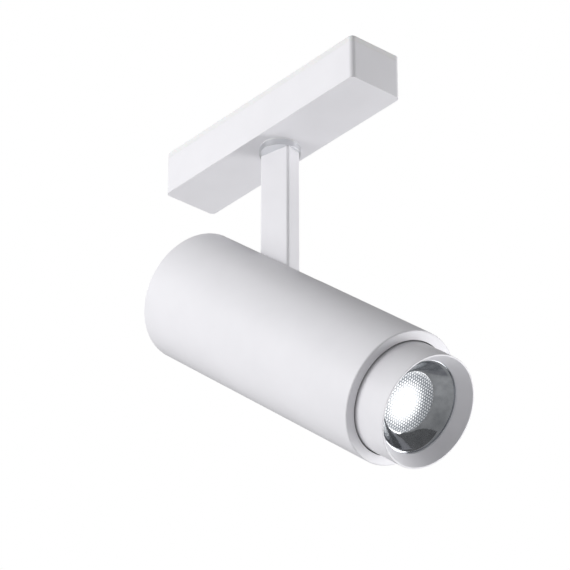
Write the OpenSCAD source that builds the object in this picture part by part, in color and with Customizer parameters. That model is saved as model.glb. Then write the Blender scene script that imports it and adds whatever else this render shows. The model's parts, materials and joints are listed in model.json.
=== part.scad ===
// Track spotlight for a low-voltage magnetic track. A flat arm hangs from a swivel in the
// track adaptor and carries a cylindrical head with a telescoping nose and a zoom lens.
// +Z is up and +X runs along the track. The origin is the middle of the adaptor's top
// face, on the swivel axis. Inside the head, +X runs forwards along the lamp's axis from
// the tilt axis. Inside the arm, +Z runs upwards from the tilt axis.

/* [Stored pose] */
// Turn of the arm and head about the swivel, from the track's direction
pan_rest = 11.4; // [-60:0.1:60]
// Tilt of the head below the horizontal
tilt_rest = 38.1; // [30:0.1:45]
// Height from the tilt axis to the adaptor's top face
drop = 110; // [100:1:130]

/* [Head] */
// Outside radius of the body
body_r = 27.5; // [27:0.1:29]
// Distance from the tilt axis forward to the body's front face
front_x = 75.5; // [75:0.1:80]
// Distance from the tilt axis back to the body's rear face
rear_x = 55.2; // [50:0.1:60]
// Wall of the rear chamber
rear_wall = 2.2; // [2:0.1:2.4]
// Wall of the front chamber
front_wall = 2.9; // [2.8:0.1:3]
// Position of the dividing web's rear face
web_x = 24; // [23:0.5:25]
// Thickness of the dividing web
web_t = 3; // [2:0.5:3]
// Length of the neck that the nose slides through
neck_len = 12; // [10:0.5:13]
// Inside radius of the neck
neck_r = 23.43; // [23.3:0.01:23.6]
// Chamfer on the body's outer edges
edge = 0.35; // [0.2:0.05:0.6]
// Width of the slot that the arm swings in
slot_w = 9.1; // [8.8:0.1:9.6]
// Distance that the slot reaches past the tilt axis
slot_reach = 8; // [7.8:0.1:8.5]
// Thickness of the rear cap
cap_t = 3; // [2:0.5:4]

/* [Nose] */
// Outside radius of the nose
nose_r = 23.05; // [23:0.01:23.1]
// Distance that the nose stands out of the body
nose_out = 16; // [14:0.5:17]
// Length of the nose
nose_len = 34; // [33:0.5:34.5]
// Flat rim of the nose
rim_w = 0.65; // [0.5:0.05:1]
// Depth of the conical mouth
mouth_depth = 5.3; // [4.5:0.1:6]
// Inside radius of the mouth at the lens
mouth_r = 18.85; // [18:0.05:19.2]
// Inside radius of the nose behind the lens
nose_bore_r = 20.4; // [20.2:0.1:20.8]
// Thickness of the lip in front of the lens
lip_t = 0.8; // [0.6:0.1:1.2]

/* [Optics] */
// Radius of the lens flange
lens_r = 20.3; // [20:0.1:20.3]
// Thickness of the lens flange
flange_t = 1.4; // [1:0.1:1.8]
// Height of the lens
lens_h = 15; // [14:0.5:15]
// Radius of the lens behind its flange
lens_front_r = 18.6; // [18:0.1:18.8]
// Radius of the lens at its rear
lens_rear_r = 14.2; // [13.8:0.1:14.6]
// Radius of the lens cavity at its roof
cavity_r = 12.4; // [12.2:0.1:12.6]
// Distance from the lens face to the cavity's roof
roof_depth = 8.3; // [8:0.1:8.5]
// Radius of the light-emitting disc
chip_r = 5.5; // [4:0.5:5.5]
// Outside radius of the clamp over the light source
holder_r = 11.4; // [11:0.1:11.5]

/* [Arm] */
// Width of the arm along the head
arm_w = 14.7; // [14:0.1:15]
// Thickness of the arm
arm_t = 8.3; // [8:0.1:8.4]
// Wall of the arm
arm_wall = 1.2; // [1:0.1:1.3]
// Radius of the arm's long edges
arm_edge = 1.2; // [0.8:0.1:1.5]
// Height of the arm's lower end above the tilt axis
arm_low = 13; // [12.5:0.5:14]
// Radius of the tilt pin
pin_r = 2.5; // [2:0.1:2.6]

/* [Adaptor] */
// Length of the adaptor along the track
adaptor_len = 120; // [118:1:130]
// Width of the adaptor
adaptor_w = 26; // [26:0.5:28]
// Height of the adaptor
adaptor_h = 20; // [20:0.5:22]
// Thickness of the adaptor's cover
cover_t = 2.5; // [2.4:0.1:3]
// Wall of the adaptor's housing
housing_wall = 1.8; // [1.6:0.1:2]
// Floor of the adaptor's housing
floor_t = 2.5; // [2.4:0.1:2.8]
// Distance from the swivel to the middle of each magnet
magnet_x = 40; // [39.5:0.5:40]
// Height that the contact pins stand out of the cover
contact_out = 1.2; // [1:0.1:1.5]

/* [Hidden] */
$fn = 72;

eps = 0.1;            // overrun of every cut
fit = 0.05;           // running clearance
turns_tilt = [0, tilt_rest, 0];

// Head stations along the lamp's axis
neck_x = front_x - neck_len;
rear_bore_r = body_r - rear_wall;
front_bore_r = body_r - front_wall;
tip_x = front_x + nose_out;
nose_rear_x = tip_x - nose_len;
lens_x = tip_x - mouth_depth - lip_t;
lens_rear_x = lens_x - lens_h;
cap_r = rear_bore_r - fit;
sink_x = web_x + web_t;
sink_r = neck_r - 0.23;
base_x = 47.3;        // front face of the heat sink's base
plinth_r = 11.8;
plinth_x = 62.6;      // top of the plinth under the light source
pad_t = 0.3;
led_board_t = 1;
chip_t = 0.7;
holder_h = 2;
holder_screw_y = 8.8;
holder_screw = [1, 1.6, 1];
holder_screw_len = 5;
holder_shoulder = 0.8;
led_board_x = plinth_x + pad_t;
chip_x = led_board_x + led_board_t;
lead_r = 1.3;
lead_hole_r = 1.5;
lead_z = 9.2;         // height of the lead's hole over the lamp's axis
slot_low = -slot_reach;

// Fins of the heat sink
fins = 4;
fin_t = 2;
fin_pitch = 4;
fin_root_r = 19.5;

// Guides of the nose
felt_x = neck_x + 3.5;
felt_len = 4;
felt_r = 24.9;
ring_x = neck_x - 4.2;
ring_len = 2.1;
ring_groove_r = 22;
retainer_t = 1.6;
retainer_r = lens_front_r + 0.5;
tip_round = 0.15;

// Fasteners: shank radius, head radius, head height
m2 = [1, 1.9, 1.3];
m3 = [1.5, 2.8, 1.8];
m3_tap_r = 1.25;

// Rear cap screws
lug_y = 17;
lug_z = -13;
lug_r = 4.2;
lug_len = 12;

// Bracket
ear_gap = 5;          // inner face of an ear, from the middle
ear_t = 2;
ear_r = 7.4;
bracket_w = 19;       // half the width of the bracket's base
bracket_screw_y = 13;
sink_screw_z = 17;

// Arm
arm_in_w = arm_w - 2 * arm_wall;
arm_in_t = arm_t - 2 * arm_wall;
spigot_len = 14;
notch_x = 2.7;        // start of the lead's notch in the knuckle
exit_x = 4.4;         // middle of the lead at the arm's lower end
dowel_r = 1.25;
dowel_z = arm_low + 6;

// Swivel, as heights over the adaptor's top face
floor_z = -adaptor_h + floor_t;
stem_r = 5;
stem_bore_r = 1.7;
bush_r = 6.5;
bush_flange_r = 8.2;
bush_flange_t = 0.8;
collar_r = 8.6;
collar_t = 2.8;
collar_top = -adaptor_h - bush_flange_t - fit;
arm_top = collar_top - collar_t;
tongue_len = 10;
set_screw_sunk = 0.1;
washer_t = 0.8;
washer_r = 7;
spring_washer_r = 6.8;
swivel_nut_flats = 14;
washer_z = floor_z + bush_flange_t + fit;
spring_washer_z = washer_z + washer_t;
spring_washer_t = 0.6;
swivel_nut_z = spring_washer_z + spring_washer_t;
swivel_nut_h = 4;
stem_top = swivel_nut_z + swivel_nut_h + 1;
lead_top = stem_top + 1.6;
tab_reach = 10.3;
tab_w = 1.5;
stop_x = 9.6;
stop_r = 0.8;
stop_sunk = 1.5;
stop_h = bush_flange_t + washer_t + 1;

// Adaptor fittings
adaptor_edge = 2;
post_x = adaptor_len / 2 - 4;
post_y = adaptor_w / 2 - 4;
post_r = 2.6;
magnet_size = [20, 14, 2.2];
magnet_sink = 0.3;
yoke_size = [27, 15, 1.2];
yoke_screw_x = 11.7;
yoke_screw_len = yoke_size[2] + 1.4;
carrier_x = 18;
carrier_size = [14, 18, 8];
carrier_low = -cover_t - carrier_size[2];
carrier_in_x = carrier_x - carrier_size[0] / 2;
pin_gap = 5;          // each contact pin, from the middle
pin_tip_r = 1.1;
pin_collar_r = 1.8;
pin_tail_r = 0.7;
carrier_bore_r = 1.9;
carrier_floor = 1.2;
carrier_wire_r = 0.6;
carrier_wire_z = carrier_low + carrier_floor + 1;
pin_chamfer = 0.4;
pin_collar_h = 1.1;
pin_collar_top = -cover_t - fit;
pin_tail_len = 3.8;
spring_r = 1.3;
spring_wire_r = 0.22;
spring_turns = 5;
spring_steps = 10;    // points in a turn
cover_screw_len = 9;
board_size = [40, 19.2, 1.6];
board_mid = -32.5;
board_z = -15;
board_top = board_z + board_size[2];
board_screw = [18, 7]; // from the board's middle
board_screw_len = 4;
standoff_r = 2;
inductor_at = [board_mid - 11, -3];
inductor_r = 5;
inductor_h = 5.5;
inductor_core_r = 2.4;
inductor_flange = 0.9;
winding_r = 4.6;
can_r = 3.6;
can_h = 7;
can_groove = 0.3;
can_places = [[board_mid - 3.5, 4.6], [board_mid + 5, 4.6]];
terminal_size = [5, 8, 4.5];
terminal_x = -17.5;
terminal_hole_z = board_top + 2.4;
contact_wire_r = 0.55;

// ---- shared shapes ----

// Things given along the lamp's axis
module in_head() {
    rotate([0, 0, pan_rest]) translate([0, 0, -drop]) rotate(turns_tilt) children();
}

// Things given above the tilt axis
module in_arm() {
    rotate([0, 0, pan_rest]) translate([0, 0, -drop]) children();
}

// A round bar along X from one station to the next
module bar(from, to, r, y = 0, z = 0) {
    translate([from, y, z]) rotate([0, 90, 0]) cylinder(h = to - from, r = r);
}

// A round bar across the head, along Y
module cross_bar(from, to, r) {
    translate([0, from, 0]) rotate([-90, 0, 0]) cylinder(h = to - from, r = r);
}

// A turned part about X, from [radius, station] pairs
module turned(outline) {
    rotate([0, 90, 0]) rotate_extrude() polygon(outline);
}

// A ring about X, from its inside and outside radii, first station and length
module collar(inner, outer, from, length) {
    turned([[inner, from], [outer, from], [outer, from + length], [inner, from + length]]);
}

// A washer standing on XY
module washer(outer, inner, h) {
    difference() {
        cylinder(h = h, r = outer);
        translate([0, 0, -eps]) cylinder(h = h + 2 * eps, r = inner);
    }
}

// A slab with round vertical edges, standing on XY
module slab(x, y, r, h) {
    linear_extrude(h) union() {
        square([x - 2 * r, y], center = true);
        square([x, y - 2 * r], center = true);
        for (sx = [-1, 1], sy = [-1, 1])
            translate([sx * (x / 2 - r), sy * (y / 2 - r)]) circle(r);
    }
}

// A block centred in X and Y, standing on XY
module block(size) {
    translate([-size[0] / 2, -size[1] / 2, 0]) cube(size);
}

// A hexagon nut standing on XY
module nut(flats, bore, h) {
    difference() {
        cylinder(h = h, r = flats / sqrt(3), $fn = 6);
        translate([0, 0, -eps]) cylinder(h = h + 2 * eps, r = bore);
    }
}

// A cap screw that points along -Z, with its head standing on XY and a hexagon socket
module cap_screw(size, length) {
    difference() {
        union() {
            cylinder(h = size[2], r = size[1]);
            translate([0, 0, -length]) cylinder(h = length + eps, r = size[0]);
        }
        translate([0, 0, size[2] / 2]) cylinder(h = size[2], r = size[1] / 2, $fn = 6);
    }
}

// A countersunk screw that points along -Z, with its head flush with XY
module flush_screw(size, length) {
    difference() {
        union() {
            translate([0, 0, -size[2]]) cylinder(h = size[2], r1 = size[0], r2 = size[1]);
            translate([0, 0, -length]) cylinder(h = length - size[2] + eps, r = size[0]);
        }
        translate([0, 0, -size[2] / 2]) cylinder(h = size[2], r = size[1] / 2.4, $fn = 6);
    }
}

// The hole that a flush screw sits in
module flush_seat(size, depth) {
    translate([0, 0, -size[2]]) cylinder(h = size[2], r1 = size[0], r2 = size[1]);
    translate([0, 0, -depth]) cylinder(h = depth, r = size[0]);
    cylinder(h = eps, r = size[1]);
}

// A lead of round section along a route
module lead(route, r, sides = 8) {
    last = len(route) - 1;
    along = [for (i = [0:last])
        let (d = route[min(i + 1, last)] - route[max(i - 1, 0)]) d / norm(d)];
    across = [for (d = along)
        let (s = abs(d[1]) < 0.9 ? cross(d, [0, 1, 0]) : cross(d, [1, 0, 0])) s / norm(s)];
    points = [for (i = [0:last], k = [0:sides - 1])
        let (a = 360 * k / sides, up = cross(along[i], across[i]))
        route[i] + r * (cos(a) * across[i] + sin(a) * up)];
    walls = [for (i = [0:last - 1], k = [0:sides - 1])
        let (j = (k + 1) % sides)
        [i * sides + k, (i + 1) * sides + k, (i + 1) * sides + j, i * sides + j]];
    start = [for (k = [0:sides - 1]) k];
    end = [for (k = [sides - 1:-1:0]) last * sides + k];
    polyhedron(points, concat(walls, [start, end]), convexity = 4);
}

// ---- adaptor ----

module adaptor_housing() color("white") {
    height = adaptor_h - cover_t;
    difference() {
        union() {
            difference() {
                translate([0, 0, -adaptor_h]) slab(adaptor_len, adaptor_w, adaptor_edge, height);
                translate([0, 0, floor_z])
                    block([adaptor_len - 2 * housing_wall, adaptor_w - 2 * housing_wall, adaptor_h]);
            }
            for (sx = [-1, 1], sy = [-1, 1])
                translate([sx * post_x, sy * post_y, floor_z - eps])
                    cylinder(h = height - floor_t + eps, r = post_r);
            at_board_screws(floor_z - eps) cylinder(h = board_z - floor_z + eps, r = standoff_r);
        }
        for (sx = [-1, 1], sy = [-1, 1])
            translate([sx * post_x, sy * post_y, -cover_screw_len])
                cylinder(h = cover_screw_len, r = m2[0]);
        translate([0, 0, -adaptor_h - eps]) cylinder(h = floor_t + 2 * eps, r = bush_r);
        translate([-stop_x, 0, floor_z - stop_sunk]) cylinder(h = 2 * stop_sunk, r = stop_r);
        at_board_screws(board_top - board_screw_len) cylinder(h = board_screw_len, r = m2[0]);
    }
}

module at_board_screws(height) for (side = [-1, 1])
    translate([board_mid + side * board_screw[0], -side * board_screw[1], height]) children();

module adaptor_cover() color("white") difference() {
    translate([0, 0, -cover_t]) slab(adaptor_len, adaptor_w, adaptor_edge, cover_t);
    for (sx = [-1, 1]) {
        translate([sx * magnet_x, 0, -cover_t - eps])
            block([magnet_size[0], magnet_size[1], cover_t + 2 * eps]);
        for (side = [-1, 1])
            translate([sx * magnet_x + side * yoke_screw_x, 0, -cover_t - yoke_size[2]])
                cylinder(h = yoke_screw_len, r = m2[0]);
        for (sy = [-1, 1]) translate([sx * post_x, sy * post_y, 0]) flush_seat(m2, cover_t + eps);
    }
    for (side = [-1, 1])
        translate([carrier_x, side * pin_gap, -cover_t - eps])
            cylinder(h = cover_t + 2 * eps, r = pin_tip_r + fit);
}

module cover_screws() color("silver")
    for (sx = [-1, 1], sy = [-1, 1]) translate([sx * post_x, sy * post_y, 0])
        flush_screw(m2, cover_screw_len);

module holding_magnets() color("silver")
    for (sx = [-1, 1])
        translate([sx * magnet_x, 0, -magnet_sink - magnet_size[2]]) block(magnet_size);

module magnet_yokes() color("gray") for (sx = [-1, 1])
    translate([sx * magnet_x, 0, -cover_t - yoke_size[2]]) difference() {
        block(yoke_size);
        for (side = [-1, 1])
            translate([side * yoke_screw_x, 0, -eps]) cylinder(h = yoke_size[2] + 2 * eps, r = m2[0]);
    }

module yoke_screws() color("silver") for (sx = [-1, 1], side = [-1, 1])
    translate([sx * magnet_x + side * yoke_screw_x, 0, -cover_t - yoke_size[2]])
        rotate([180, 0, 0]) cap_screw(m2, yoke_screw_len);

module contact_carrier() color("black") difference() {
    translate([carrier_x, 0, carrier_low]) block(carrier_size);
    for (side = [-1, 1]) {
        translate([carrier_x, side * pin_gap, carrier_low + carrier_floor])
            cylinder(h = carrier_size[2], r = carrier_bore_r);
        bar(carrier_in_x - eps, carrier_x, carrier_wire_r, side * pin_gap, carrier_wire_z);
    }
}

module contact_pin(side) color("gold") translate([carrier_x, side * pin_gap, 0]) {
    collar_low = pin_collar_top - pin_collar_h;
    rotate_extrude() polygon([
        [0, collar_low - pin_tail_len], [pin_tail_r, collar_low - pin_tail_len],
        [pin_tail_r, collar_low], [pin_collar_r, collar_low], [pin_collar_r, pin_collar_top],
        [pin_tip_r, pin_collar_top], [pin_tip_r, contact_out - pin_chamfer],
        [pin_tip_r - pin_chamfer, contact_out], [0, contact_out]]);
}
module contact_pin_left() contact_pin(1);
module contact_pin_right() contact_pin(-1);

module contact_spring(side) color("silver") {
    low = carrier_low + carrier_floor + spring_wire_r + fit;
    high = pin_collar_top - pin_collar_h - spring_wire_r - fit;
    total = spring_turns * spring_steps;
    lead([for (i = [0:total])
        let (a = 360 * i / spring_steps)
        [carrier_x + spring_r * cos(a), side * pin_gap + spring_r * sin(a),
         low + (high - low) * i / total]], spring_wire_r, 6);
}
module contact_spring_left() contact_spring(1);
module contact_spring_right() contact_spring(-1);

module contact_leads() color("red") for (side = [-1, 1]) {
    y = side * pin_gap;
    lead([[carrier_in_x + 3, y, carrier_wire_z], [carrier_in_x - 1, y, carrier_wire_z], [7, y, -7.7],
          [3, y, -7], [-14, y, -7], [-17.5, y, -7.2], [-20.2, y, -8.3], [-22, y, -10.3], [-22.5, y, -12],
          [-22.5, y, board_top]], contact_wire_r);
}

module driver_board() color("seagreen") difference() {
    translate([board_mid, 0, board_z]) block(board_size);
    at_board_screws(board_z - eps) cylinder(h = board_size[2] + 2 * eps, r = m2[0]);
}

module board_screws() color("silver") at_board_screws(board_top) cap_screw(m2, board_screw_len);

module driver_inductor() color("dimgray") translate([inductor_at[0], inductor_at[1], board_top])
    rotate_extrude() polygon([
        [0, 0], [inductor_r, 0], [inductor_r, inductor_flange], [inductor_core_r, inductor_flange],
        [inductor_core_r, inductor_h - inductor_flange], [inductor_r, inductor_h - inductor_flange],
        [inductor_r, inductor_h], [0, inductor_h]]);

module inductor_winding() color("peru")
    translate([inductor_at[0], inductor_at[1], board_top + inductor_flange])
        washer(winding_r, inductor_core_r, inductor_h - 2 * inductor_flange);

module driver_capacitors() color("slategray") for (place = can_places)
    translate([place[0], place[1], board_top]) rotate_extrude() polygon([
        [0, 0], [can_r, 0], [can_r, 1], [can_r - can_groove, 1 + can_groove],
        [can_r, 1 + 2 * can_groove], [can_r, can_h], [0, can_h]]);

module driver_chips() color("black") {
    translate([board_mid - 1, -4.5, board_top]) block([6, 5, 1.5]);
    translate([board_mid + 5.5, -3.4, board_top]) block([4, 4, 1]);
    translate([board_mid - 12, 6.5, board_top]) block([3, 3, 1]);
}

module output_terminal() color("whitesmoke") difference() {
    translate([terminal_x, 0, board_top]) block(terminal_size);
    bar(terminal_x, terminal_x + terminal_size[0], lead_r, 0, terminal_hole_z);
}

module output_lead() color("lightgray")
    lead([[0, 0, lead_top], [0, 0, -7.2], [-0.9, 0, -5.8], [-2.6, 0, -5.1], [-5, 0, -5.1],
          [-8, 0, -6.1], [-10.6, 0, -8.2], [-12.6, 0, -10.3], [-14.2, 0, terminal_hole_z],
          [terminal_x + 0.6, 0, terminal_hole_z]], lead_r);

module swivel_bush() color("whitesmoke") difference() {
    union() {
        translate([0, 0, -adaptor_h - bush_flange_t]) cylinder(h = bush_flange_t, r = bush_flange_r);
        translate([0, 0, -adaptor_h - eps]) cylinder(h = floor_t + 2 * eps, r = bush_r);
        translate([0, 0, floor_z]) cylinder(h = bush_flange_t, r = bush_flange_r);
    }
    translate([0, 0, collar_top]) cylinder(h = washer_z - collar_top, r = stem_r + fit);
}

module pan_stop_pin() color("silver")
    translate([-stop_x, 0, floor_z - stop_sunk]) cylinder(h = stop_sunk + stop_h, r = stop_r);

// ---- arm ----

module swivel_stem() color("silver") rotate([0, 0, pan_rest]) difference() {
    union() {
        translate([0, 0, collar_top - collar_t]) cylinder(h = collar_t, r = collar_r);
        translate([0, 0, collar_top - eps]) cylinder(h = stem_top - collar_top + eps, r = stem_r);
        translate([0, 0, arm_top - tongue_len]) block([arm_in_w, arm_in_t, tongue_len + eps]);
    }
    translate([0, 0, arm_top - tongue_len - eps])
        cylinder(h = stem_top - arm_top + tongue_len + 2 * eps, r = stem_bore_r);
    translate([0, 0, arm_top - tongue_len / 2]) bar(-arm_w, -lead_r, m3_tap_r);
}

module stop_washer() color("silver") rotate([0, 0, pan_rest]) translate([0, 0, washer_z]) difference() {
    union() {
        cylinder(h = washer_t, r = washer_r);
        translate([0, -tab_w / 2, 0]) cube([tab_reach, tab_w, washer_t]);
    }
    translate([0, 0, -eps]) cylinder(h = washer_t + 2 * eps, r = stem_r);
}

module swivel_spring_washer() color("silver")
    translate([0, 0, spring_washer_z]) washer(spring_washer_r, stem_r, spring_washer_t);

module swivel_nut() color("silver")
    rotate([0, 0, pan_rest]) translate([0, 0, swivel_nut_z]) nut(swivel_nut_flats, stem_r, swivel_nut_h);

module arm_tube() color("white") rotate([0, 0, pan_rest]) difference() {
    translate([0, 0, -drop + arm_low]) slab(arm_w, arm_t, arm_edge, arm_top + drop - arm_low);
    translate([0, 0, -drop]) block([arm_in_w, arm_in_t, drop]);
    translate([0, 0, arm_top - tongue_len / 2]) bar(-arm_w, 0, m3_tap_r);
    translate([0, 0, -drop + dowel_z]) cross_bar(-arm_t, arm_t, dowel_r);
}

module stem_set_screw() color("silver") rotate([0, 0, pan_rest])
    translate([0, 0, arm_top - tongue_len / 2]) difference() {
        bar(-arm_w / 2 + set_screw_sunk, -lead_r - 1.2, m3_tap_r);
        translate([-arm_w / 2, 0, 0]) rotate([0, 90, 0]) cylinder(h = 1.6, r = 0.8, $fn = 6);
    }

module arm_knuckle() color("silver") in_arm() difference() {
    union() {
        cross_bar(-arm_t / 2, arm_t / 2, arm_w / 2);
        translate([-arm_w / 2, -arm_t / 2, 0]) cube([arm_w / 2 + notch_x, arm_t, arm_low]);
        translate([-arm_in_w / 2, -arm_in_t / 2, arm_low - eps])
            cube([arm_in_w / 2 + notch_x, arm_in_t, spigot_len]);
    }
    cross_bar(-arm_t, arm_t, pin_r + fit);
    translate([0, 0, dowel_z]) cross_bar(-arm_t, arm_t, dowel_r);
}

module knuckle_dowel() color("silver") in_arm()
    translate([0, 0, dowel_z]) cross_bar(-arm_t / 2, arm_t / 2, dowel_r);

module arm_lead() color("lightgray") rotate([0, 0, pan_rest])
    lead([[0, 0, lead_top], [0, 0, -20], [0, 0, -34], [0, 0, -38], [0.4, 0, -46], [1.5, 0, -54],
          [3, 0, -62], [4, 0, -69], [exit_x, 0, -76], [exit_x, 0, -86], [exit_x, 0, -drop + arm_low]],
         lead_r);

// ---- head ----

module body_tube() color("white") in_head() difference() {
    union() {
        turned([
            [rear_bore_r, -rear_x], [body_r - edge, -rear_x], [body_r, -rear_x + edge],
            [body_r, front_x - edge], [body_r - edge, front_x], [neck_r, front_x],
            [neck_r, neck_x], [front_bore_r, neck_x], [front_bore_r, sink_x], [0, sink_x],
            [0, web_x], [rear_bore_r, web_x]]);
        for (side = [-1, 1]) intersection() {
            bar(-rear_x + cap_t, -rear_x + cap_t + lug_len, lug_r, side * lug_y, lug_z);
            bar(-rear_x, web_x, rear_bore_r + eps);
        }
    }
    translate([-rear_x - eps, -slot_w / 2, 0]) cube([rear_x + slot_reach + eps, slot_w, body_r + 1]);
    bar(web_x - eps, sink_x + eps, lead_hole_r + 0.3, 0, lead_z);
    for (side = [-1, 1]) {
        bar(-rear_x, -rear_x + cap_t + 9, m3_tap_r, side * lug_y, lug_z);
        bar(web_x - eps, sink_x + eps, m3[0], side * bracket_screw_y, 0);
        bar(web_x - eps, sink_x + eps, m3[0], 0, side * sink_screw_z);
    }
    collar(neck_r - eps, felt_r, felt_x, felt_len);
}

module rear_cap() color("white") in_head() difference() {
    bar(-rear_x, -rear_x + cap_t, cap_r);
    translate([-rear_x - eps, -slot_w / 2, slot_low]) cube([cap_t + 2 * eps, slot_w, body_r + slot_reach]);
    for (side = [-1, 1])
        translate([-rear_x, side * lug_y, lug_z]) rotate([0, -90, 0]) flush_seat(m3, cap_t + eps);
}

module cap_screws() color("silver") in_head() for (side = [-1, 1])
    translate([-rear_x, side * lug_y, lug_z]) rotate([0, -90, 0])
        flush_screw([m3_tap_r, m3[1], m3[2]], 10);

module tilt_bracket() color("silver") in_head() difference() {
    union() {
        translate([web_x - ear_t, -bracket_w, -ear_r]) cube([ear_t, 2 * bracket_w, 2 * ear_r]);
        for (side = [-1, 1]) {
            low = side > 0 ? ear_gap : -ear_gap - ear_t;
            translate([0, low, -ear_r]) cube([web_x - eps, ear_t, 2 * ear_r]);
            cross_bar(low, low + ear_t, ear_r);
        }
    }
    cross_bar(-bracket_w, bracket_w, pin_r);
    for (side = [-1, 1]) bar(web_x - ear_t - eps, web_x + eps, m3[0], side * bracket_screw_y, 0);
}

module bracket_screws() color("silver") in_head() for (side = [-1, 1])
    translate([web_x - ear_t, side * bracket_screw_y, 0]) rotate([0, -90, 0])
        cap_screw(m3, ear_t + web_t + 6);

module heat_sink_screws() color("silver") in_head() for (side = [-1, 1])
    translate([web_x, 0, side * sink_screw_z]) rotate([0, -90, 0]) cap_screw(m3, web_t + 6);

module tilt_pin() color("silver") in_head() union() {
    cross_bar(-ear_gap - ear_t - eps, ear_gap + ear_t + 4.6, pin_r);
    cross_bar(-ear_gap - ear_t - 2.4, -ear_gap - ear_t, 4.2);
}

module friction_washers() color("tan") in_head() for (side = [-1, 1]) {
    low = side > 0 ? arm_t / 2 + fit : -ear_gap;
    high = side > 0 ? ear_gap : -arm_t / 2 - fit;
    difference() {
        cross_bar(low, high, 5.5);
        cross_bar(low - eps, high + eps, pin_r);
    }
}

module tilt_spring_washer() color("silver") in_head()
    translate([0, ear_gap + ear_t, 0]) rotate([-90, 0, 0]) washer(4.6, pin_r, 0.8);

module tilt_nut() color("silver") in_head()
    translate([0, ear_gap + ear_t + 0.8, 0]) rotate([-90, 0, 0]) nut(8, pin_r, 3.2);

module guide_felt() color("dimgray") in_head() collar(nose_r + fit, felt_r, felt_x, felt_len);

// Discs between grooves, then a solid base and the plinth for the light source
function fin_outline(k) = [
    [sink_r, sink_x + k * fin_pitch], [sink_r, sink_x + k * fin_pitch + fin_t],
    [fin_root_r, sink_x + k * fin_pitch + fin_t], [fin_root_r, sink_x + (k + 1) * fin_pitch]];

module heat_sink() color("silver") in_head() difference() {
    turned(concat([[0, sink_x]], [for (k = [0:fins - 1]) each fin_outline(k)],
        [[sink_r, sink_x + fins * fin_pitch], [sink_r, base_x], [plinth_r, base_x],
         [plinth_r, plinth_x], [0, plinth_x]]));
    bar(sink_x - eps, plinth_x + eps, lead_hole_r, 0, lead_z);
    for (side = [-1, 1]) {
        bar(sink_x - eps, sink_x + 7, m3[0], side * bracket_screw_y, 0);
        bar(sink_x - eps, sink_x + 7, m3[0], 0, side * sink_screw_z);
        bar(plinth_x - 5, plinth_x + eps, m2[0], side * holder_screw_y, 0);
    }
}

module thermal_pad() color("lightgray") in_head() difference() {
    bar(plinth_x, plinth_x + pad_t, plinth_r - 0.6);
    bar(plinth_x - eps, plinth_x + 1, lead_hole_r, 0, lead_z);
    for (side = [-1, 1]) bar(plinth_x - eps, plinth_x + 1, m2[0], side * holder_screw_y, 0);
}

module led_board() color("white") in_head() difference() {
    bar(led_board_x, chip_x, plinth_r - 0.6);
    bar(led_board_x - eps, chip_x + eps, lead_hole_r, 0, lead_z);
    for (side = [-1, 1]) bar(led_board_x - eps, chip_x + eps, m2[0], side * holder_screw_y, 0);
}

module led_chip() color("gold") in_head() bar(chip_x, chip_x + chip_t, chip_r);

module led_holder() color("white") in_head() difference() {
    turned([[chip_r + 0.2, chip_x], [holder_r, chip_x], [holder_r, chip_x + holder_h - 0.5],
            [holder_r - 0.5, chip_x + holder_h], [chip_r + 1.8, chip_x + holder_h],
            [chip_r + 0.2, chip_x + 0.6]]);
    bar(chip_x - eps, chip_x + 1.4, lead_hole_r, 0, lead_z);
    for (side = [-1, 1]) {
        bar(chip_x - eps, chip_x + holder_h + eps, m2[0], side * holder_screw_y, 0);
        bar(chip_x + holder_shoulder, chip_x + holder_h + eps, holder_screw[1], side * holder_screw_y, 0);
    }
}

module holder_screws() color("silver") in_head() for (side = [-1, 1])
    translate([chip_x + holder_shoulder, side * holder_screw_y, 0])
        rotate([0, 90, 0]) cap_screw(holder_screw, holder_screw_len);

// The lead's slack between the arm and the head, which bends as the head tilts
module tilt_lead() color("lightgray") in_head() {
    exit = [exit_x * cos(tilt_rest) - arm_low * sin(tilt_rest), 0,
            exit_x * sin(tilt_rest) + arm_low * cos(tilt_rest)];
    down = [sin(tilt_rest), 0, -cos(tilt_rest)];
    lead([exit, exit + 1.2 * down, [-1.6, 0, 10.6], [0.8, 0, 10.4], [3.6, 0, 11.2], [6.6, 0, 12.6],
          [9.8, 0, 13.3], [13, 0, 12.8], [16, 0, 11.3], [18.8, 0, 9.9], [21, 0, 9.3],
          [web_x - 0.4, 0, lead_z], [web_x + 1, 0, lead_z]], lead_r);
}

module led_lead() color("lightgray") in_head() bar(web_x + 1, chip_x + 0.6, lead_r, 0, lead_z);

// ---- nose ----

module nose_sleeve() color("white") in_head() turned([
    [nose_r, nose_rear_x], [nose_r, ring_x], [ring_groove_r, ring_x], [ring_groove_r, ring_x + ring_len],
    [nose_r, ring_x + ring_len], [nose_r, tip_x - tip_round], [nose_r - tip_round, tip_x],
    [nose_r - rim_w, tip_x], [mouth_r, tip_x - mouth_depth], [mouth_r, lens_x], [nose_bore_r, lens_x],
    [nose_bore_r, nose_rear_x]]);

module zoom_lens() color("lightcyan") in_head() turned([
    [0, lens_x - roof_depth], [cavity_r, lens_x - roof_depth], [cavity_r + 0.5, lens_rear_x],
    [lens_rear_r, lens_rear_x], [lens_front_r, lens_x - flange_t], [lens_r, lens_x - flange_t],
    [lens_r, lens_x], [0, lens_x]]);

module lens_retainer() color("black") in_head()
    collar(retainer_r, nose_bore_r, lens_x - flange_t - retainer_t, retainer_t);

// The ring that slides in the front chamber and stops the nose from coming out
module slide_ring() color("black") in_head() collar(ring_groove_r, front_bore_r - fit, ring_x, ring_len);

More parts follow.
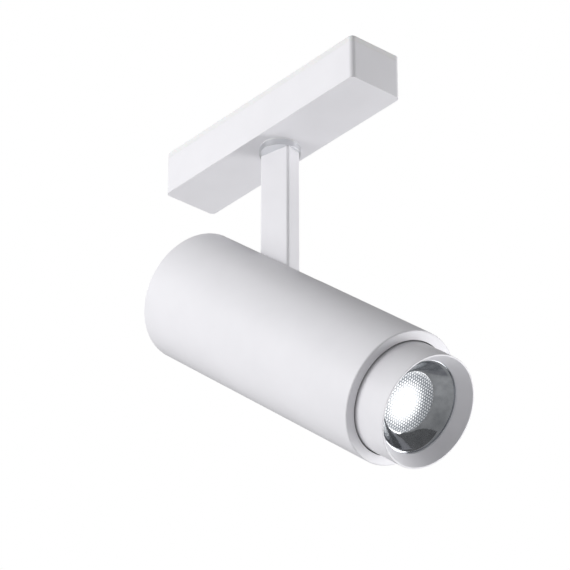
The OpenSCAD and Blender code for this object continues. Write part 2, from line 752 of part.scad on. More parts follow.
adaptor_housing();
adaptor_cover();
cover_screws();
holding_magnets();
magnet_yokes();
yoke_screws();
contact_carrier();
contact_pin_left();
contact_pin_right();
contact_spring_left();
contact_spring_right();
contact_leads();
driver_board();
board_screws();
driver_inductor();
inductor_winding();
driver_capacitors();
driver_chips();
output_terminal();
output_lead();
swivel_bush();
pan_stop_pin();
swivel_stem();
stop_washer();
swivel_spring_washer();
swivel_nut();
arm_tube();
stem_set_screw();
arm_knuckle();
knuckle_dowel();
arm_lead();
body_tube();
rear_cap();
cap_screws();
tilt_bracket();
bracket_screws();
tilt_pin();
friction_washers();
tilt_spring_washer();
tilt_nut();
guide_felt();
heat_sink();
heat_sink_screws();
thermal_pad();
led_board();
led_chip();
led_holder();
holder_screws();
tilt_lead();
led_lead();
nose_sleeve();
zoom_lens();
lens_retainer();
slide_ring();
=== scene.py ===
"""Track spotlight: the looks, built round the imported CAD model. Metres throughout."""

import json
import math

import bmesh
import bpy
from mathutils import Matrix, Vector


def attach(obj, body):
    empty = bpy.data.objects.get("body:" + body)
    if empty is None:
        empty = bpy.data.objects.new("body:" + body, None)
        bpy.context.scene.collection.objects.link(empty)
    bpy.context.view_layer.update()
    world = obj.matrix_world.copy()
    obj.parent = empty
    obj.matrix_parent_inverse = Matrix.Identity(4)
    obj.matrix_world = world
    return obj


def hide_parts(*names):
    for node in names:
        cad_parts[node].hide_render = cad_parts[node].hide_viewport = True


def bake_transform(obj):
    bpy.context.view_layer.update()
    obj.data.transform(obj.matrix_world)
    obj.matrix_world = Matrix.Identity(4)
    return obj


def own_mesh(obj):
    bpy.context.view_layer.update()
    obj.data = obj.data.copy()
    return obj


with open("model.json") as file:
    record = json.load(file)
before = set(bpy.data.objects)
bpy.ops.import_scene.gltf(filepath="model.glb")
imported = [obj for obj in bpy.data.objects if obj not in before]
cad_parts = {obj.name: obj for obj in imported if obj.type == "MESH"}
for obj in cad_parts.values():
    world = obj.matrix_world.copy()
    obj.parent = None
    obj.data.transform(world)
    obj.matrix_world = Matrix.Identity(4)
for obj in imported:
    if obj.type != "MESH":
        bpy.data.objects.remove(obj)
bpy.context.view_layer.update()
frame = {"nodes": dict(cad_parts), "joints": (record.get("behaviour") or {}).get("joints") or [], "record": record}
NODES = frame["nodes"]
JOINTS = {joint["name"]: joint for joint in frame["joints"]}
SLOT_OF = {part["node"]: part["material_slot"] for part in frame["record"]["subparts"]}
MM = 0.001
MICRON = 1e-6


# ---- the head's own axes: along the lamp, across it, and over it -------------------------

PIVOT = Vector(JOINTS["tilt"]["pos_m"])
FORWARD = Vector(JOINTS["zoom"]["axis"]).normalized()
ACROSS = Vector(JOINTS["tilt"]["axis"]).normalized()
OVER = FORWARD.cross(ACROSS)
HEAD = Matrix((FORWARD, ACROSS, OVER)).transposed().to_4x4()
HEAD.translation = PIVOT


def head_span(node):
    """Lowest and highest corner of a CAD node along the head's own axes."""
    inside = HEAD.inverted()
    corners = [inside @ v.co for v in NODES[node].data.vertices]
    low = Vector(min(c[i] for c in corners) for i in range(3))
    high = Vector(max(c[i] for c in corners) for i in range(3))
    return low, high


BODY_FRONT, BODY_R = head_span("body_tube")[1].xy
lens_low, lens_high = head_span("zoom_lens")
LENS_REAR = lens_low.x
LENS_FACE, LENS_R = lens_high.xy


# ---- camera --------------------------------------------------------------------------

CAMERA_AZIMUTH = math.radians(49.62)     # from the track's line to the camera's right
CAMERA_BELOW = math.radians(29.67)       # how steeply the camera looks up
CAMERA_RADII = (0.0744, 0.7691, 44.43)   # right, up and back from the tilt axis, in body radii
CAMERA_CLIP = (0.05, 20)
LENS_PER_SENSOR = 5.342                  # focal length over sensor width
SENSOR_MM = 36

right = Vector((math.cos(CAMERA_AZIMUTH), math.sin(CAMERA_AZIMUTH), 0))
nearer = Vector((math.sin(CAMERA_AZIMUTH), -math.cos(CAMERA_AZIMUTH), 0))
upward = math.cos(CAMERA_BELOW) * Vector((0, 0, 1)) + math.sin(CAMERA_BELOW) * nearer
backward = math.cos(CAMERA_BELOW) * nearer - math.sin(CAMERA_BELOW) * Vector((0, 0, 1))


def make_camera():
    data = bpy.data.cameras.new("camera")
    data.sensor_width = SENSOR_MM
    data.lens = LENS_PER_SENSOR * SENSOR_MM
    data.clip_start, data.clip_end = CAMERA_CLIP
    camera = bpy.data.objects.new("camera", data)
    bpy.context.scene.collection.objects.link(camera)
    across, rise, back = CAMERA_RADII
    camera.matrix_world = Matrix((right, upward, backward)).transposed().to_4x4()
    camera.location = PIVOT + BODY_R * (across * right + rise * upward + back * backward)
    bpy.context.scene.camera = camera


make_camera()


# ---- floor, world and lights -----------------------------------------------------------

FLOOR_Z = -1.6           # far below, so that it blocks no light
FLOOR_SIDE = 60
FLOOR_GREY = 0.82
FLOOR_ROUGHNESS = 0.9
FLOOR_GLOW = 0.25
WORLD_SEEN = 1.0         # the white that the camera sees
WORLD_GLOW = 0.15        # the even light that falls on the object
LIGHT_AWAY = 0.9

# degrees turned from the camera towards the right, degrees above the view's level, side, watts
LIGHTS = {
    "left_high": (300, 15, 0.4, 4.2),
    "right": (90, -10, 0.4, 3.8),
    "right_low": (90, -30, 0.4, 2.15),
    "far_left_high": (225, 35, 0.8, 2.2),
    "left": (292.5, -10, 0.4, 1.51),
    "far_right_high": (112.5, 12, 0.4, 1.23),
    "under_left": (240, -55, 0.8, 0.86),
    "left_side": (270, 35, 0.8, 0.6),
    "overhead": (180, 60, 0.8, 0.8),
}


def make_floor():
    mesh = bpy.data.meshes.new("floor")
    half = FLOOR_SIDE / 2
    corners = [(-half, -half), (half, -half), (half, half), (-half, half)]
    mesh.from_pydata([(x, y, FLOOR_Z) for x, y in corners], [], [(0, 1, 2, 3)])
    floor = bpy.data.objects.new("floor", mesh)
    bpy.context.scene.collection.objects.link(floor)
    material = bpy.data.materials.new("floor_pale")
    material.use_nodes = True
    shader = material.node_tree.nodes["Principled BSDF"]
    shader.inputs["Base Color"].default_value = (FLOOR_GREY, FLOOR_GREY, FLOOR_GREY, 1)
    shader.inputs["Roughness"].default_value = FLOOR_ROUGHNESS
    shader.inputs["Emission Color"].default_value = (1, 1, 1, 1)
    shader.inputs["Emission Strength"].default_value = FLOOR_GLOW
    mesh.materials.append(material)


def make_world():
    """White behind the object, and a dimmer even light on it."""
    world = bpy.data.worlds.new("studio")
    bpy.context.scene.world = world
    world.use_nodes = True
    tree = world.node_tree
    tree.nodes.clear()
    output = tree.nodes.new("ShaderNodeOutputWorld")
    mix = tree.nodes.new("ShaderNodeMixShader")
    lit = tree.nodes.new("ShaderNodeBackground")
    shown = tree.nodes.new("ShaderNodeBackground")
    path = tree.nodes.new("ShaderNodeLightPath")
    lit.inputs["Strength"].default_value = WORLD_GLOW
    shown.inputs["Strength"].default_value = WORLD_SEEN
    for background in (lit, shown):
        background.inputs["Color"].default_value = (1, 1, 1, 1)
    tree.links.new(path.outputs["Is Camera Ray"], mix.inputs["Fac"])
    tree.links.new(lit.outputs["Background"], mix.inputs[1])
    tree.links.new(shown.outputs["Background"], mix.inputs[2])
    tree.links.new(mix.outputs["Shader"], output.inputs["Surface"])


def softbox(name, turn, rise, side, power):
    """A square area light round the lamp, aimed at the tilt axis."""
    data = bpy.data.lights.new(name, "AREA")
    data.shape = "SQUARE"
    data.size = side
    data.energy = power
    light = bpy.data.objects.new(name, data)
    bpy.context.scene.collection.objects.link(light)
    turn, rise = math.radians(turn), math.radians(rise)
    way = (math.cos(rise) * math.sin(turn) * right + math.sin(rise) * upward
           + math.cos(rise) * math.cos(turn) * backward)
    light.location = PIVOT + LIGHT_AWAY * way
    light.rotation_mode = "QUATERNION"
    light.rotation_quaternion = way.to_track_quat("Z", "Y")
    light.visible_camera = False


make_floor()
make_world()
for light_name, (turn, rise, side, power) in LIGHTS.items():
    softbox("light_" + light_name, turn, rise, side, power)


# ---- materials: small helpers over the node tree -------------------------------------------

BEVEL_SAMPLES = 4
MIX_A, MIX_B, MIX_RESULT = 6, 7, 2       # the colour sockets of Blender's Mix node


class Finish:
    """One procedural material: a Principled shader and the textures that drive it."""

    def __init__(self, name, colour, roughness, **sockets):
        self.material = bpy.data.materials.new(name)
        self.material.use_nodes = True
        self.tree = self.material.node_tree
        self.shader = self.tree.nodes["Principled BSDF"]
        self.set(base_color=(*colour, 1), roughness=roughness, **sockets)
        self.normal = None

    def set(self, **sockets):
        """Shader inputs by name, such as coat_weight for Coat Weight."""
        for key, value in sockets.items():
            words = [w.upper() if w == "ior" else w.capitalize() for w in key.split("_")]
            self.shader.inputs[" ".join(words)].default_value = value

    def add(self, kind, **settings):
        node = self.tree.nodes.new("ShaderNode" + kind)
        for key, value in settings.items():
            setattr(node, key, value)
        return node

    def link(self, source, target):
        self.tree.links.new(source, target)

    def coords(self, scale=(1, 1, 1), in_head=False):
        """Object coordinates in metres, along the row's axes or the head's, then scaled."""
        spot = self.add("TexCoord").outputs["Object"]
        if in_head:
            turn = self.add("Mapping", vector_type="TEXTURE")
            turn.inputs["Location"].default_value = PIVOT
            turn.inputs["Rotation"].default_value = HEAD.to_euler()
            self.link(spot, turn.inputs["Vector"])
            spot = turn.outputs["Vector"]
        if tuple(scale) != (1, 1, 1):
            grow = self.add("Mapping")
            grow.inputs["Scale"].default_value = scale
            self.link(spot, grow.inputs["Vector"])
            spot = grow.outputs["Vector"]
        return spot

    def around(self, in_head=True):
        """Distance along an axis and out from it, so that a texture runs in fine rings."""
        parts = self.add("SeparateXYZ")
        self.link(self.coords(in_head=in_head), parts.inputs[0])
        along, one, two = (0, 1, 2) if in_head else (2, 0, 1)
        flat = self.add("CombineXYZ")
        self.link(parts.outputs[one], flat.inputs[0])
        self.link(parts.outputs[two], flat.inputs[1])
        out = self.add("VectorMath", operation="LENGTH")
        self.link(flat.outputs[0], out.inputs[0])
        both = self.add("CombineXYZ")
        self.link(parts.outputs[along], both.inputs[0])
        self.link(out.outputs["Value"], both.inputs[1])
        return both.outputs[0]

    def noise(self, spot, scale, detail=2.0, rough=0.5, distort=0.0):
        node = self.add("TexNoise")
        for key, value in (("Scale", scale), ("Detail", detail), ("Roughness", rough),
                           ("Distortion", distort)):
            node.inputs[key].default_value = value
        self.link(spot, node.inputs["Vector"])
        return node.outputs["Fac"]

    def cells(self, spot, scale, feature="F1"):
        node = self.add("TexVoronoi", feature=feature)
        node.inputs["Scale"].default_value = scale
        self.link(spot, node.inputs["Vector"])
        return node.outputs["Distance"]

    def bands(self, spot, scale, direction):
        node = self.add("TexWave", bands_direction=direction)
        node.inputs["Scale"].default_value = scale
        self.link(spot, node.inputs["Vector"])
        return node.outputs["Fac"]

    def spread(self, value, low, high, start=0.25, stop=0.75):
        """The value's stretch from start to stop, mapped to low..high."""
        node = self.add("MapRange", clamp=True)
        for key, number in (("From Min", start), ("From Max", stop), ("To Min", low),
                            ("To Max", high)):
            node.inputs[key].default_value = number
        self.link(value, node.inputs["Value"])
        return node.outputs["Result"]

    def tint(self, value, low, high, start, stop):
        """Base colour between two colours as the texture goes."""
        node = self.add("ValToRGB")
        node.color_ramp.elements[0].position = start
        node.color_ramp.elements[1].position = stop
        node.color_ramp.elements[0].color = (*low, 1)
        node.color_ramp.elements[1].color = (*high, 1)
        self.link(value, node.inputs["Fac"])
        self.link(node.outputs["Color"], self.shader.inputs["Base Color"])

    def paint_shade_inside(self):
        """Painted shade: the bores are coloured near black, inside the neck and in the chamber behind it."""
        parts = self.add("SeparateXYZ")
        self.link(self.around(), parts.inputs[0])
        along, out = parts.outputs[0], parts.outputs[1]
        neck = self.spread(out, 1, 0, NECK_R, NECK_R + SHADE_BLEND)
        bore = self.spread(out, 1, 0, BORE_R, BORE_R + SHADE_BLEND)
        rear = self.spread(along, 1, 0, NECK_BACK, NECK_BACK + SHADE_BLEND)
        behind = self.add("Math", operation="MULTIPLY")
        self.link(bore, behind.inputs[0])
        self.link(rear, behind.inputs[1])
        shade_mask = self.add("Math", operation="MAXIMUM")
        self.link(neck, shade_mask.inputs[0])
        self.link(behind.outputs[0], shade_mask.inputs[1])
        mix = self.add("Mix", data_type="RGBA")
        painted = self.shader.inputs["Base Color"].links[0].from_socket
        self.link(shade_mask.outputs[0], mix.inputs["Factor"])
        self.link(painted, mix.inputs[MIX_A])
        mix.inputs[MIX_B].default_value = (*PAINTED_SHADE, 1)
        self.link(mix.outputs[MIX_RESULT], self.shader.inputs["Base Color"])

    def rough(self, value, low, high):
        self.link(self.spread(value, low, high), self.shader.inputs["Roughness"])

    def round_edges(self, radius):
        """Edges catch the light as if softened by this radius."""
        node = self.add("Bevel", samples=BEVEL_SAMPLES)
        node.inputs["Radius"].default_value = radius
        self.normal = node.outputs["Normal"]
        self.link(self.normal, self.shader.inputs["Normal"])

    def bump(self, value, depth, strength):
        node = self.add("Bump")
        node.inputs["Strength"].default_value = strength
        node.inputs["Distance"].default_value = depth
        self.link(value, node.inputs["Height"])
        if self.normal:
            self.link(self.normal, node.inputs["Normal"])
        self.normal = node.outputs["Normal"]
        self.link(self.normal, self.shader.inputs["Normal"])


def shade(colour, share):
    """The colour darker or paler by this share."""
    return [min(c * share, 1) for c in colour]


# ---- materials: one function for each kind ---------------------------------------------------

PLASTIC_EDGE = 0.2 * MM
METAL_EDGE = 0.15 * MM


def powder_coat(name, colour, edge, painted_shade_inside=False):
    """Satin white powder coat: fine even grain, faint mottling, a softer shine in places."""
    finish = Finish(name, colour, roughness=0.42, specular_ior_level=0.5)
    finish.round_edges(edge)
    spot = finish.coords()
    mottle = finish.noise(spot, scale=55, detail=3)
    finish.tint(mottle, shade(colour, 0.975), shade(colour, 1.012), start=0.3, stop=0.7)
    # painted shade: near black in the body's bores, where asked for
    if painted_shade_inside:
        finish.paint_shade_inside()
    finish.rough(finish.noise(spot, scale=900, detail=2), low=0.37, high=0.48)
    orange_peel = finish.noise(spot, scale=420, detail=1)
    finish.bump(orange_peel, depth=8 * MICRON, strength=0.35)
    grain = finish.noise(spot, scale=2600, detail=2, rough=0.6)
    finish.bump(grain, depth=7 * MICRON, strength=0.5)
    return finish.material


def moulded(name, colour, roughness, spark=3200, depth=6 * MICRON, **sockets):
    """Moulded plastic with a spark-eroded texture and faint flow marks."""
    finish = Finish(name, colour, roughness, **sockets)
    finish.round_edges(PLASTIC_EDGE)
    spot = finish.coords()
    flow = finish.noise(finish.coords(scale=(1, 1.6, 2.4)), scale=70, detail=2, distort=1.2)
    finish.tint(flow, shade(colour, 0.965), shade(colour, 1.02), start=0.3, stop=0.7)
    finish.rough(finish.noise(spot, scale=1400), low=roughness - 0.06, high=roughness + 0.08)
    finish.bump(finish.cells(spot, spark, "SMOOTH_F1"), depth, strength=0.6)
    return finish.material


def plated(name, colour, roughness, warm, edge=METAL_EDGE):
    """Plated steel: faint cloudy colour and scratches from handling."""
    finish = Finish(name, colour, roughness, metallic=1.0)
    finish.round_edges(edge)
    cloud = finish.noise(finish.coords(), scale=240, detail=3)
    finish.tint(cloud, colour, warm, start=0.35, stop=0.7)
    scratch = finish.noise(finish.coords(scale=(1, 1, 14)), scale=500, detail=3, distort=0.4)
    finish.rough(scratch, low=roughness - 0.06, high=roughness + 0.12)
    finish.bump(scratch, depth=3 * MICRON, strength=0.4)
    return finish.material


def turned_metal(name, colour, roughness, in_head):
    """Lathe-turned aluminium: fine rings round the lamp's axis, or round the stem's."""
    finish = Finish(name, colour, roughness, metallic=1.0)
    finish.round_edges(METAL_EDGE)
    rings = finish.noise(finish.around(in_head), scale=5200, detail=3, rough=0.7)
    finish.rough(rings, low=roughness - 0.08, high=roughness + 0.12)
    finish.bump(rings, depth=4 * MICRON, strength=0.5)
    cloud = finish.noise(finish.coords(), scale=90, detail=2)
    finish.tint(cloud, shade(colour, 0.94), colour, start=0.3, stop=0.7)
    return finish.material


def board_green():
    """Solder mask over copper tracks and rows of pads."""
    finish = Finish("circuit_board", (0.02, 0.12, 0.05), roughness=0.32, coat_weight=0.3)
    spot = finish.coords()
    brick = finish.add("TexBrick", offset=0.35, offset_frequency=3, squash=0.6,
                       squash_frequency=2)
    for key, value in (("Scale", 260), ("Mortar Size", 0.012), ("Brick Width", 1.1),
                       ("Row Height", 0.42)):
        brick.inputs[key].default_value = value
    finish.link(spot, brick.inputs["Vector"])
    tracks = brick.outputs["Fac"]
    finish.tint(tracks, (0.012, 0.10, 0.04), (0.03, 0.19, 0.08), start=0.2, stop=0.8)
    finish.bump(tracks, depth=20 * MICRON, strength=0.6)
    finish.rough(finish.noise(spot, scale=1800), low=0.25, high=0.42)
    return finish.material


def winding():
    """Enamelled copper wire, turn beside turn up the bobbin."""
    finish = Finish("copper_winding", (0.66, 0.25, 0.09), roughness=0.28, metallic=0.85,
                    coat_weight=0.6)
    turns = finish.bands(finish.coords(scale=(0, 0, 1)), scale=420, direction="Z")
    # painted shade: the colour darkens into the grooves between turns
    finish.tint(turns, (0.32, 0.10, 0.03), (0.78, 0.34, 0.14), start=0.1, stop=0.8)
    finish.bump(turns, depth=120 * MICRON, strength=0.9)
    return finish.material


def sheath(name, colour, roughness):
    """Extruded insulation: faint draw lines and dust."""
    finish = Finish(name, colour, roughness)
    dust = finish.noise(finish.coords(), scale=300, detail=3)
    finish.tint(dust, shade(colour, 0.86), colour, start=0.3, stop=0.7)
    finish.rough(finish.noise(finish.coords(), scale=2200), low=roughness - 0.08,
                 high=roughness + 0.1)
    drawn = finish.noise(finish.coords(scale=(1, 1, 0.2)), scale=2600, detail=2)
    finish.bump(drawn, depth=6 * MICRON, strength=0.5)
    return finish.material


def fibrous(name, colour, scale, depth, **sockets):
    """Felt or pressed fibre: short tangled strands."""
    finish = Finish(name, colour, roughness=0.95, **sockets)
    strands = finish.noise(finish.coords(scale=(1, 0.35, 1)), scale, detail=5, rough=0.75,
                           distort=2.5)
    finish.tint(strands, shade(colour, 0.45), shade(colour, 1.5), start=0.3, stop=0.7)
    finish.bump(strands, depth, strength=0.9)
    return finish.material


def speckled(name, colour, fleck, scale, roughness):
    """Sintered or filled material: a base with small flecks."""
    finish = Finish(name, colour, roughness)
    spot = finish.coords()
    finish.tint(finish.cells(spot, scale), fleck, colour, start=0.12, stop=0.42)
    finish.rough(finish.noise(spot, scale * 0.7), low=roughness - 0.1, high=roughness + 0.1)
    finish.bump(finish.noise(spot, scale, detail=3), depth=10 * MICRON, strength=0.7)
    return finish.material


# ---- materials: which part has which ---------------------------------------------------------

WHITE = (0.828, 0.822, 0.856)
PLASTIC_WHITE = (0.81, 0.81, 0.82)
ALUMINIUM = (0.74, 0.75, 0.77)
# painted shade: the near-black colour given to the body's bores
PAINTED_SHADE = (0.035, 0.035, 0.037)
NECK_R = 23.5 * MM               # the body's bore gets painted shade inside this radius
BORE_R = 26.0 * MM               # and inside this one behind its neck
NECK_BACK = BODY_FRONT - 12 * MM
SHADE_BLEND = 0.05 * MM
FINISHES = {
    "white_paint": powder_coat("white_powder_coat", WHITE, edge=0.25 * MM),
    "white_plastic": moulded("white_moulded", PLASTIC_WHITE, 0.46, subsurface_weight=0.05,
                             subsurface_scale=0.4 * MM),
    "black_plastic": moulded("black_moulded", (0.022, 0.022, 0.024), 0.48),
    "steel": plated("zinc_plated_steel", (0.56, 0.57, 0.60), 0.30, warm=(0.63, 0.61, 0.56)),
    "aluminium": turned_metal("turned_aluminium", ALUMINIUM, 0.30, in_head=True),
    "magnet": plated("nickel_plated_magnet", (0.66, 0.64, 0.61), 0.16, warm=(0.70, 0.69, 0.66)),
    "brass": plated("gold_flashed_brass", (0.90, 0.62, 0.24), 0.20, warm=(0.95, 0.70, 0.34),
                    edge=0.08 * MM),
    "copper": winding(),
    "ferrite": speckled("ferrite_grey", (0.035, 0.035, 0.038), fleck=(0.10, 0.10, 0.105),
                        scale=2600, roughness=0.62),
    "circuit_board": board_green(),
    "capacitor": moulded("capacitor_sleeve", (0.018, 0.022, 0.045), 0.22, spark=900,
                         depth=4 * MICRON),
    "wire": sheath("pale_sheath", (0.72, 0.72, 0.70), 0.48),
    "wire_red": sheath("red_insulation", (0.38, 0.018, 0.014), 0.42),
    "felt": fibrous("dense_felt", (0.045, 0.045, 0.048), scale=3800, depth=120 * MICRON,
                    sheen_weight=0.5, sheen_roughness=0.6),
    "friction": fibrous("pressed_fibre", (0.36, 0.22, 0.09), scale=2600, depth=30 * MICRON),
    "phosphor": speckled("phosphor_yellow", (0.90, 0.66, 0.10), fleck=(0.98, 0.82, 0.34),
                         scale=5200, roughness=0.55),
    "pad": speckled("silicone_pad", (0.30, 0.32, 0.35), fleck=(0.42, 0.44, 0.47),
                    scale=3400, roughness=0.6),
}
OWN_FINISH = {
    # the body tube carries painted shade in its bores
    "body_tube": powder_coat("white_body_coat", WHITE, edge=0.2 * MM, painted_shade_inside=True),
    "nose_sleeve": powder_coat("white_nose_coat", WHITE, edge=0.08 * MM),
    "swivel_stem": turned_metal("turned_stem", ALUMINIUM, 0.30, in_head=False),
}
for name, node in NODES.items():
    slot = SLOT_OF[name]
    node.data.materials.clear()
    if slot in FINISHES:
        node.data.materials.append(OWN_FINISH.get(name, FINISHES[slot]))


# ---- the zoom optic: a turned wall, and a disc of small domes ----------------------------------

OPTIC_TURN = 128                 # steps round the turned wall
EDGE_R = 18.55 * MM              # clear opening of the optic's front
LIP_W = 0.6 * MM                 # step round the funnel
LIP_STEP = 0.55 * MM
LIP_LEAN = (0.7, 0.2)            # share of the step's depth and width at its bend
FUNNEL_R = 12.4 * MM             # the faceted disc at the funnel's bottom
FUNNEL_POINTS = 14
FUNNEL_BEND = 1.35               # 1 would be a straight cone
DISC_DEPTH = 5.6 * MM            # how far the disc lies behind the front
DISC_GAP = 0.1 * MM              # between the disc and the wall's own floor
CONE_R = 18.6 * MM
REAR_R = 14.2 * MM
FLANGE_T = 1.4 * MM
CAVITY_ROOF = 8.3 * MM           # air space behind the disc starts here
CAVITY_FLARE = 0.5 * MM
FACET_PITCH = 1.3 * MM
FACET_RISE = 0.14 * MM
FACET_SMOOTH = 16                # degrees between faces that still shade as one
DOME_R = FACET_PITCH / math.sqrt(3)
DOME_CORNERS = 12
DOME_RINGS = (0.35, 0.7, 1.0)    # shares of a dome's radius
GLOW_NAME = "painted_glow"
DOME_NAME = "dome_height"
GLOW_R = 7.9 * MM                # the painted glow of the middle fades out round this radius
GLOW_FADE = 5.0 * MM
GLOW_SHIFT = (-2.0 * MM, -1.2 * MM)
GLOW_GAIN = 1.2
DOME_GAIN = 1.5                  # how much more painted glow a dome's crown has than its foot
DOME_MIDDLE = 0.55
SAME_SPOT = 1 * MICRON           # corners this close are one vertex
NO_RADIUS = 1e-7


def link_mesh(name, mesh, body, material, smooth_below=35):
    """The finished mesh as a piece that rides on the body."""
    mesh.materials.append(material)
    for face in mesh.polygons:
        face.use_smooth = True
    mesh.set_sharp_from_angle(angle=math.radians(smooth_below))
    piece = bpy.data.objects.new(name, mesh)
    bpy.context.scene.collection.objects.link(piece)
    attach(piece, body)
    return piece


def turned(name, profile):
    """A closed mesh turned round the head's axis; profile points are (along, out)."""
    verts, faces, rows = [], [], []
    for along, out in profile:
        steps = 1 if out < NO_RADIUS else OPTIC_TURN
        rows.append(list(range(len(verts), len(verts) + steps)))
        for k in range(steps):
            angle = 2 * math.pi * k / steps
            verts.append(HEAD @ Vector((along, out * math.cos(angle), out * math.sin(angle))))
    for a, b in zip(rows, rows[1:] + rows[:1]):
        for k in range(OPTIC_TURN):
            m = (k + 1) % OPTIC_TURN
            corners = (a[k % len(a)], a[m % len(a)], b[m % len(b)], b[k % len(b)])
            face = list(dict.fromkeys(corners))
            if len(face) > 2:
                faces.append(face)
    mesh = bpy.data.meshes.new(name)
    mesh.from_pydata(verts, [], faces)
    mesh.validate()
    tidy = bmesh.new()
    tidy.from_mesh(mesh)
    bmesh.ops.recalc_face_normals(tidy, faces=tidy.faces)
    tidy.to_mesh(mesh)
    tidy.free()
    return mesh


def funnel_profile():
    """The optic's inner wall, a shallow bowl from the lip down to the disc."""
    points = []
    for k in range(FUNNEL_POINTS + 1):
        t = k / FUNNEL_POINTS
        out = EDGE_R - LIP_W - t * (EDGE_R - LIP_W - FUNNEL_R)
        down = LIP_STEP + (DISC_DEPTH - LIP_STEP) * (1 - (1 - t) ** FUNNEL_BEND)
        points.append((LENS_FACE - down, out))
    return points


def wall_profile():
    """The whole optic but its disc: outside and flange, lip, funnel, floor and air space."""
    flange_back = LENS_FACE - FLANGE_T
    floor = LENS_FACE - DISC_DEPTH - DISC_GAP
    roof = LENS_FACE - CAVITY_ROOF
    depth_share, width_share = LIP_LEAN
    outside = [(LENS_REAR, FUNNEL_R + CAVITY_FLARE), (LENS_REAR, REAR_R),
               (flange_back, CONE_R), (flange_back, LENS_R), (LENS_FACE, LENS_R)]
    lip = [(LENS_FACE, EDGE_R),
           (LENS_FACE - depth_share * LIP_STEP, EDGE_R - width_share * LIP_W)]
    inside = [(floor, FUNNEL_R), (floor, 0), (roof, 0), (roof, FUNNEL_R)]
    return outside + lip + funnel_profile() + inside


def painted_glow(dome, y, z):
    """Painted glow: full in the middle, then only at the domes' crowns as painted highlights, then none."""
    far = math.hypot(y - GLOW_SHIFT[0], z - GLOW_SHIFT[1])
    near = min(max((GLOW_R + GLOW_FADE / 2 - far) / GLOW_FADE, 0), 1)
    value = 0.5 + GLOW_GAIN * (near - 0.5) + DOME_GAIN * (dome - DOME_MIDDLE)
    value = min(max(value, 0), 1)
    return value * value * (3 - 2 * value)


def dome_middles():
    """Every spot of the honeycomb whose dome reaches into the disc."""
    reach = math.ceil(2 / math.sqrt(3) * FUNNEL_R / FACET_PITCH) + 1
    for i in range(-reach, reach + 1):
        for j in range(-reach, reach + 1):
            y = FACET_PITCH * (i + j / 2)
            z = FACET_PITCH * j * math.sqrt(3) / 2
            if math.hypot(y, z) - DOME_R <= FUNNEL_R:
                yield y, z


def dome_ring(y, z, share):
    """Points round a six-sided dome, at this share of its radius, as (height, y, z)."""
    ring = []
    for k in range(DOME_CORNERS):
        angle = math.pi / 6 * k + math.pi / 6
        out = DOME_R * share * (1 if k % 2 == 0 else math.cos(math.pi / 6))
        height = 1 - (out / DOME_R) ** 2
        ring.append((height, y + out * math.cos(angle), z + out * math.sin(angle)))
    return ring


def add_face(shape, corners):
    """A face, unless its corners have run together or it is there already."""
    corners = list(dict.fromkeys(corners))
    if len(corners) > 2 and shape.faces.get(corners) is None:
        shape.faces.new(corners)


def facet_disc():
    """The disc's close honeycomb of domes; each vertex keeps how much painted glow it carries."""
    front = LENS_FACE - DISC_DEPTH
    shape = bmesh.new()
    glow_layer = shape.verts.layers.float.new(GLOW_NAME)
    dome_layer = shape.verts.layers.float.new(DOME_NAME)
    made = {}

    def vertex(dome, y, z):
        far = math.hypot(y, z)
        if far > FUNNEL_R:
            y, z = y * FUNNEL_R / far, z * FUNNEL_R / far
        key = (round(y / SAME_SPOT), round(z / SAME_SPOT))
        if key not in made:
            flat = min(max((FUNNEL_R - math.hypot(y, z)) / FACET_PITCH, 0), 1)
            made[key] = shape.verts.new(HEAD @ Vector((front + FACET_RISE * dome * flat, y, z)))
            made[key][glow_layer] = painted_glow(dome, y, z)
            made[key][dome_layer] = dome
        return made[key]

    for y, z in dome_middles():
        rings = [[vertex(*spot) for spot in dome_ring(y, z, share)] for share in DOME_RINGS]
        top = vertex(1, y, z)
        for k in range(DOME_CORNERS):
            m = (k + 1) % DOME_CORNERS
            add_face(shape, (top, rings[0][k], rings[0][m]))
            for inner, outer in zip(rings, rings[1:]):
                add_face(shape, (inner[k], outer[k], outer[m], inner[m]))
    mesh = bpy.data.meshes.new("optic_facets")
    shape.to_mesh(mesh)
    shape.free()
    return mesh


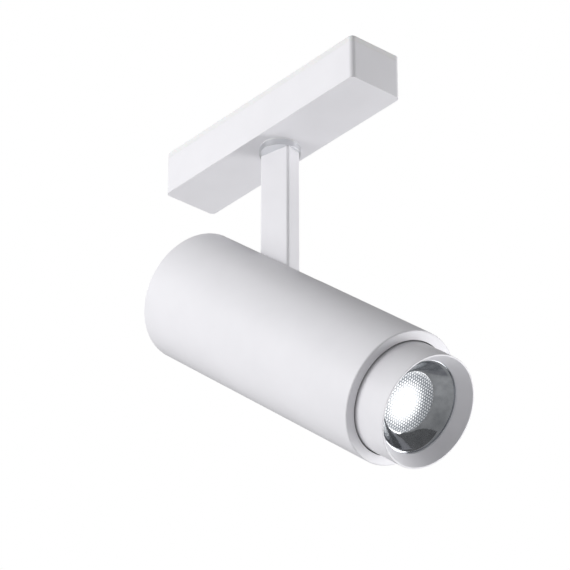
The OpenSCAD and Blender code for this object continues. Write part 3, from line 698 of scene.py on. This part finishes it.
def optic_glass():
    """Stands for clear acrylic over the unlit inside: dark and shiny, with a cool cast."""
    finish = Finish("optic_wall", (0.40, 0.41, 0.43), roughness=0.08, metallic=0.9,
                    coat_weight=0.3, coat_roughness=0.03)
    spot = finish.coords(in_head=True)
    haze = finish.noise(spot, scale=260, detail=3)
    finish.tint(haze, (0.33, 0.345, 0.365), (0.46, 0.475, 0.50), start=0.3, stop=0.7)
    finish.rough(finish.noise(spot, scale=900), low=0.05, high=0.12)
    rings = finish.noise(finish.around(), scale=900, detail=2)
    finish.bump(rings, depth=20 * MICRON, strength=0.5)
    return finish.material


def facet_glass():
    """Glossy little domes, cool grey, with a painted glow standing in for the white source showing through."""
    finish = Finish("optic_facets", (0.36, 0.385, 0.42), roughness=0.2, coat_weight=0.25,
                    coat_roughness=0.08, emission_strength=0.9)
    # painted glow: emission from the values stored on the vertices
    seen = finish.add("Attribute", attribute_name=GLOW_NAME)
    finish.link(seen.outputs["Fac"], finish.shader.inputs["Emission Color"])
    dome = finish.add("Attribute", attribute_name=DOME_NAME)
    # painted shade and highlight: dome feet darker, crowns paler
    finish.tint(dome.outputs["Fac"], (0.20, 0.22, 0.25), (0.34, 0.37, 0.41), start=0.05,
                stop=0.6)
    finish.bump(finish.noise(finish.coords(), scale=1500), depth=2 * MICRON, strength=0.3)
    return finish.material


wall = link_mesh("optic_wall", turned("optic_wall", wall_profile()), "nose",
                 optic_glass())
link_mesh("optic_facets", facet_disc(), "nose", facet_glass(), FACET_SMOOTH)
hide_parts("zoom_lens")


# ---- copies that stand in for CAD nodes ---------------------------------------------------


def stand_in(name, node_name):
    """A copy of a CAD node, which stands for it; the node itself is hidden."""
    piece = bpy.data.objects.new(name, NODES[node_name].data.copy())
    bpy.context.scene.collection.objects.link(piece)
    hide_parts(node_name)
    return piece


bent_lead = stand_in("bent_lead", "tilt_lead")
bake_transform(bent_lead)

for side in ("left", "right"):
    spring = stand_in(f"pressed_spring_{side}", f"contact_spring_{side}")
    heights = [v.co.z for v in spring.data.vertices]
    foot = sum((v.co for v in spring.data.vertices), Vector()) / len(heights)
    foot.z = min(heights)
    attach(spring, "adaptor")
    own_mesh(spring)


# ---- view transform and the end -----------------------------------------------------------

bpy.context.scene.view_settings.view_transform = "Standard"
